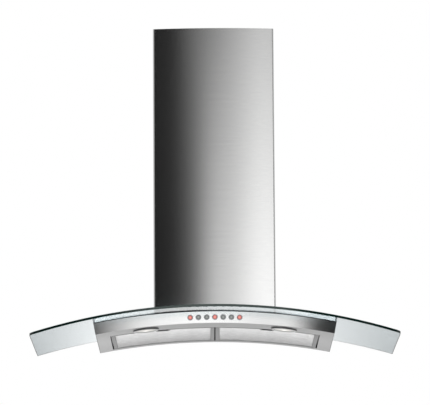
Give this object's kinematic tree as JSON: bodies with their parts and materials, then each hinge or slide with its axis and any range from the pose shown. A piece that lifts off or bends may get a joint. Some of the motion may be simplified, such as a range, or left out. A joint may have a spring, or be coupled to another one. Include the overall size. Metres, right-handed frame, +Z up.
{
  "type": "range hood",
  "caption": "Wall-mounted chimney range hood with an arched glass canopy, slim arched steel housing, push buttons, lamps, hinged grease filters and a centrifugal blower.",
  "frame": {"origin": "centre of the two wall holes of the hanging bracket, on the wall plane", "axes": "+Z up, +Y into the wall, -Y towards the cook, +X to the right as the cook faces the wall"},
  "size_m": [0.898, 0.445, 0.7848],
  "materials": {
    "glass": "clear toughened glass, polished edge",
    "seal": "matt black rubber",
    "stainless": "stainless steel, fine brushing",
    "galvanised": "galvanised sheet",
    "filter_aluminium": "satin anodised aluminium",
    "mesh_aluminium": "expanded aluminium mesh",
    "latch_plastic": "grey moulded plastic",
    "black_plastic": "black moulded plastic",
    "button_grey": "metallised grey plastic",
    "button_lit": "red translucent plastic, lit from behind",
    "board": "green printed circuit board",
    "bezel_chrome": "satin chrome",
    "lamp_glass": "frosted lens",
    "reflector": "bright spun aluminium",
    "bulb_glass": "halogen capsule",
    "motor_paint": "grey enamel",
    "shaft_steel": "ground steel",
    "screw_zinc": "zinc plated",
    "nylon": "natural nylon"
  },
  "bodies": {
    "hood": {"glass_canopy": "glass", "glass_seal": "seal", "canopy_housing": "stainless", "control_fascia": "stainless", "underside_panel": "stainless", "filter_ledge": "stainless", "centre_bar": "galvanised", "switch_housing": "black_plastic", "control_board": "board", "lamp_bezel_left": "bezel_chrome", "lamp_bezel_right": "bezel_chrome", "lamp_lens_left": "lamp_glass", "lamp_lens_right": "lamp_glass", "lamp_holder_left": "reflector", "lamp_holder_right": "reflector", "lamp_bulbs": "bulb_glass", "lamp_transformer": "black_plastic", "chimney_lower": "stainless", "chimney_stops": "nylon", "wall_bracket": "galvanised", "blower_box": "galvanised", "scroll_left": "black_plastic", "scroll_right": "black_plastic", "motor": "motor_paint", "motor_bracket": "galvanised", "outlet_collar": "black_plastic", "damper_pin": "shaft_steel", "terminal_box": "black_plastic", "cable_gland": "black_plastic", "capacitor": "reflector", "glass_screws": "screw_zinc", "glass_washers": "nylon", "box_screws": "screw_zinc", "collar_screws": "screw_zinc", "scroll_screws": "screw_zinc"},
    "upper_chimney": {"chimney_upper": "stainless", "upper_wall_bracket": "galvanised", "bracket_screws": "screw_zinc"},
    "impeller": {"impeller": "black_plastic", "motor_shaft": "shaft_steel"},
    "damper_front": {"damper_flap_front": "galvanised"},
    "damper_rear": {"damper_flap_rear": "galvanised"},
    "filter_left": {"filter_frame_left": "filter_aluminium", "filter_mesh_left": "mesh_aluminium"},
    "filter_right": {"filter_frame_right": "filter_aluminium", "filter_mesh_right": "mesh_aluminium"},
    "latch_left": {"filter_latch_left": "latch_plastic"},
    "latch_right": {"filter_latch_right": "latch_plastic"},
    "button_1": {"button_1": "button_lit"},
    "button_2": {"button_2": "button_grey"},
    "button_3": {"button_3": "button_grey"},
    "button_4": {"button_4": "button_lit"},
    "button_5": {"button_5": "button_grey"},
    "button_6": {"button_6": "button_grey"},
    "button_7": {"button_7": "button_lit"}
  },
  "joints": [
    {"name": "upper_chimney_slide", "type": "slide", "parent": "hood", "child": "upper_chimney", "axis": [0, 0, 1], "range_m": [0, 0.36]},
    {"name": "impeller_spin", "type": "hinge", "parent": "hood", "child": "impeller", "pos_m": [0, -0.1105, -0.025], "axis": [1, 0, 0], "continuous": true},
    {"name": "damper_front_swing", "type": "hinge", "parent": "hood", "child": "damper_front", "pos_m": [0, -0.15799, 0.095], "axis": [-1, 0, 0], "range_deg": [0, 75]},
    {"name": "damper_rear_swing", "type": "hinge", "parent": "hood", "child": "damper_rear", "pos_m": [0, -0.15799, 0.095], "axis": [1, 0, 0], "range_deg": [0, 75]},
    {"name": "filter_left_hinge", "type": "hinge", "parent": "hood", "child": "filter_left", "pos_m": [-0.1276, -0.027, -0.19912], "axis": [1, 0, 0], "range_deg": [0, 30]},
    {"name": "latch_left_slide", "type": "slide", "parent": "filter_left", "child": "latch_left", "axis": [0, 1, 0], "range_m": [0, 0.005], "stiffness_N_per_m": 300, "springref_m": -0.002},
    {"name": "filter_right_hinge", "type": "hinge", "parent": "hood", "child": "filter_right", "pos_m": [0.1276, -0.027, -0.19912], "axis": [1, 0, 0], "range_deg": [0, 30]},
    {"name": "latch_right_slide", "type": "slide", "parent": "filter_right", "child": "latch_right", "axis": [0, 1, 0], "range_m": [0, 0.005], "stiffness_N_per_m": 300, "springref_m": -0.002},
    {"name": "button_1_push", "type": "slide", "parent": "hood", "child": "button_1", "axis": [0, 1, 0], "range_m": [0, 0.0015], "stiffness_N_per_m": 600, "springref_m": -0.001},
    {"name": "button_2_push", "type": "slide", "parent": "hood", "child": "button_2", "axis": [0, 1, 0], "range_m": [0, 0.0015], "stiffness_N_per_m": 600, "springref_m": -0.001},
    {"name": "button_3_push", "type": "slide", "parent": "hood", "child": "button_3", "axis": [0, 1, 0], "range_m": [0, 0.0015], "stiffness_N_per_m": 600, "springref_m": -0.001},
    {"name": "button_4_push", "type": "slide", "parent": "hood", "child": "button_4", "axis": [0, 1, 0], "range_m": [0, 0.0015], "stiffness_N_per_m": 600, "springref_m": -0.001},
    {"name": "button_5_push", "type": "slide", "parent": "hood", "child": "button_5", "axis": [0, 1, 0], "range_m": [0, 0.0015], "stiffness_N_per_m": 600, "springref_m": -0.001},
    {"name": "button_6_push", "type": "slide", "parent": "hood", "child": "button_6", "axis": [0, 1, 0], "range_m": [0, 0.0015], "stiffness_N_per_m": 600, "springref_m": -0.001},
    {"name": "button_7_push", "type": "slide", "parent": "hood", "child": "button_7", "axis": [0, 1, 0], "range_m": [0, 0.0015], "stiffness_N_per_m": 600, "springref_m": -0.001}
  ]
}
